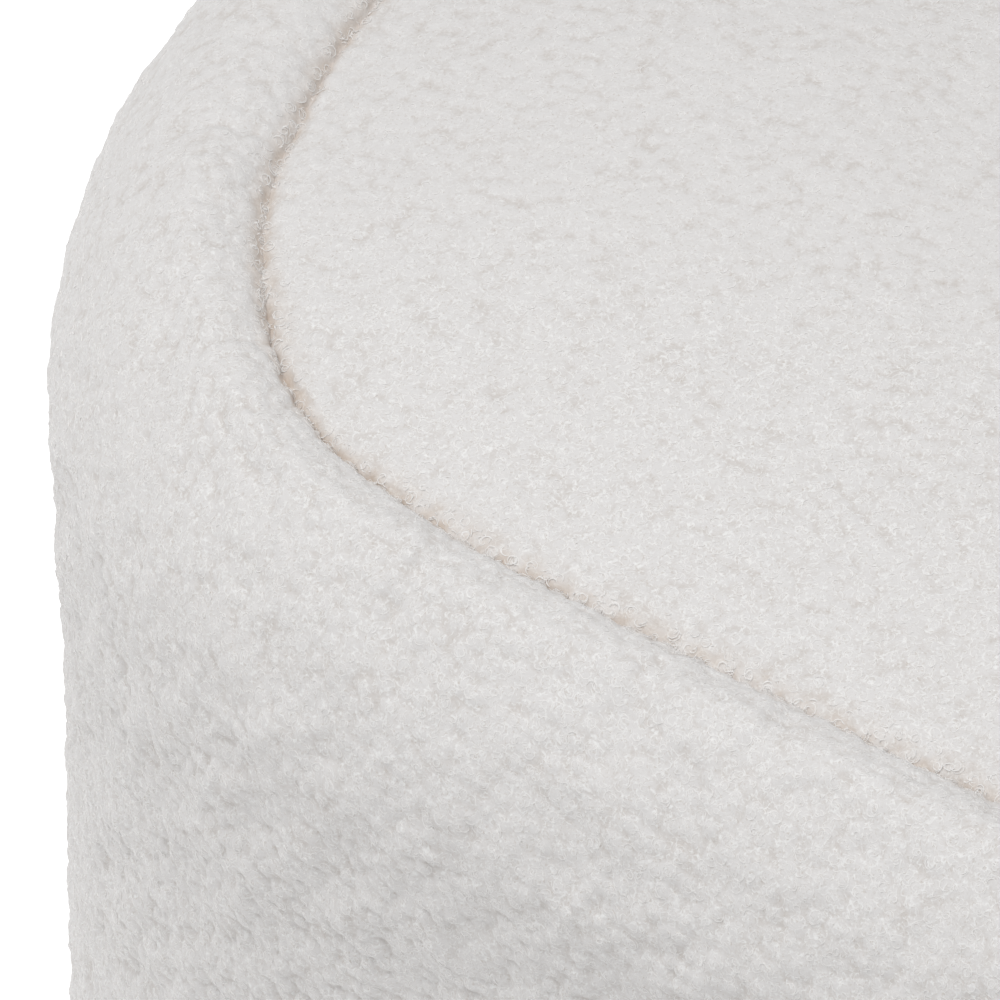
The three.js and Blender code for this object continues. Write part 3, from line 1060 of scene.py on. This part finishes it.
def board_material():
    """Stained wood: the stain sinks deeper into the soft lines of the grain."""
    material, tree, point = new_material("board_stained_black")
    stretched = add(tree, "ShaderNodeVectorMath", {"operation": "MULTIPLY"}, {0: point, 1: GRAIN_SCALE})
    grain = add(tree, "ShaderNodeTexNoise", {}, {
        "Vector": stretched.outputs[0], "Scale": 1.0, "Detail": 4.0,
    }).outputs[0]
    stain = add(tree, "ShaderNodeMix", {"data_type": "RGBA"}, {
        "Factor": grain, "A": linear("#1e1d1d"), "B": linear("#353231"),
    })
    bump = add(tree, "ShaderNodeBump", {}, {"Strength": 0.2, "Distance": 0.2 * MM, "Height": grain})
    shader = add(tree, "ShaderNodeBsdfPrincipled", {}, {
        "Roughness": 0.75, "IOR": 1.5, "Normal": bump.outputs[0], "Base Color": stain.outputs["Result"],
    })
    add(tree, "ShaderNodeOutputMaterial", {}, {"Surface": shader.outputs[0]})
    return material


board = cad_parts["base_panel"]
board.data.materials.clear()
board.data.materials.append(board_material())
print("base board finish:", board.data.materials[0].name)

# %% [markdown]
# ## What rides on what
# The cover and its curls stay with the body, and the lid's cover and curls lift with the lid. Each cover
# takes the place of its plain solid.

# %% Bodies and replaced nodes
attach(body_cover, "ottoman_body")
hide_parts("body_cover")
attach(lid_cover, "lid")
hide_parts("lid_cushion")
for pile, body in curls:
    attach(pile, body)
print("two covers and", len(curls), "meshes of curls ride on their bodies")

# %% [markdown]
# ## Floor and light
# A white studio: a pale paper floor, light from all round, and one large soft lamp above, in front of the
# ottoman. The paper itself glows, as painted light: faintly in front of the ottoman and strongly behind it,
# where it stands in for a backdrop that a photographer lights, so the paper comes out white without a lamp
# that would also wash out the cloth. Its glow also lights the ottoman a little from below.

# %% Floor of white paper: matt and even, so it shows no edge and no shine
FLOOR_REACH = 30.0
BEHIND = (-0.575, 0.818, 0)


def make_floor():
    """A wide sheet of paper under the ottoman that glows as painted light, brighter behind it than in
    front.
    """
    mesh = bpy.data.meshes.new("studio_floor")
    corners = [(-1, -1), (1, -1), (1, 1), (-1, 1)]
    places = [(x * FLOOR_REACH, y * FLOOR_REACH, -0.5 * MM) for x, y in corners]
    mesh.from_pydata(places, [], [(0, 1, 2, 3)])
    floor = bpy.data.objects.new("studio_floor", mesh)
    bpy.context.collection.objects.link(floor)
    material, tree, point = new_material("floor_white_paper")
    behind = add(tree, "ShaderNodeVectorMath", {"operation": "DOT_PRODUCT"}, {0: point, 1: BEHIND})
    # Painted light: the floor glows, faintly in front and strongly behind the ottoman.
    floor_glow = add(tree, "ShaderNodeMapRange", {"interpolation_type": "SMOOTHSTEP"}, {
        "Value": behind.outputs["Value"], "From Min": -300, "From Max": 200,
        "To Min": 0.13, "To Max": 0.75,
    })
    shader = add(tree, "ShaderNodeBsdfPrincipled", {}, {
        "Base Color": linear("#f4f4f4"), "Roughness": 0.9, "Emission Color": (1, 1, 1, 1),
        "Emission Strength": floor_glow.outputs[0],
    })
    add(tree, "ShaderNodeOutputMaterial", {}, {"Surface": shader.outputs[0]})
    mesh.materials.append(material)


make_floor()
print("floor", round(2 * FLOOR_REACH), "m wide")


# %% Light from all round and one soft lamp
LAMP_PLACE = Vector((-0.3, -0.68, 2.4))
LAMP_AIM = Vector((-0.2, -0.1, 0.4))


def make_light():
    """An even white surround and a large square lamp that looks down at the seat."""
    world = bpy.data.worlds.new("studio")
    world.use_nodes = True
    background = world.node_tree.nodes["Background"]
    background.inputs["Color"].default_value = (1, 1, 1, 1)
    background.inputs["Strength"].default_value = 0.4
    bpy.context.scene.world = world
    lamp_data = bpy.data.lights.new("soft_box", "AREA")
    lamp_data.size = 1.8
    lamp_data.energy = 27.5
    lamp = bpy.data.objects.new("soft_box", lamp_data)
    lamp.location = LAMP_PLACE
    lamp.rotation_mode = "QUATERNION"
    lamp.rotation_quaternion = (LAMP_AIM - LAMP_PLACE).to_track_quat("-Z", "Y")
    bpy.context.collection.objects.link(lamp)
    return lamp_data


soft_box = make_light()
bpy.context.scene.view_settings.view_transform = "Standard"
print("soft box", round(soft_box.size, 1), "m wide,", round(soft_box.energy, 1), "W")
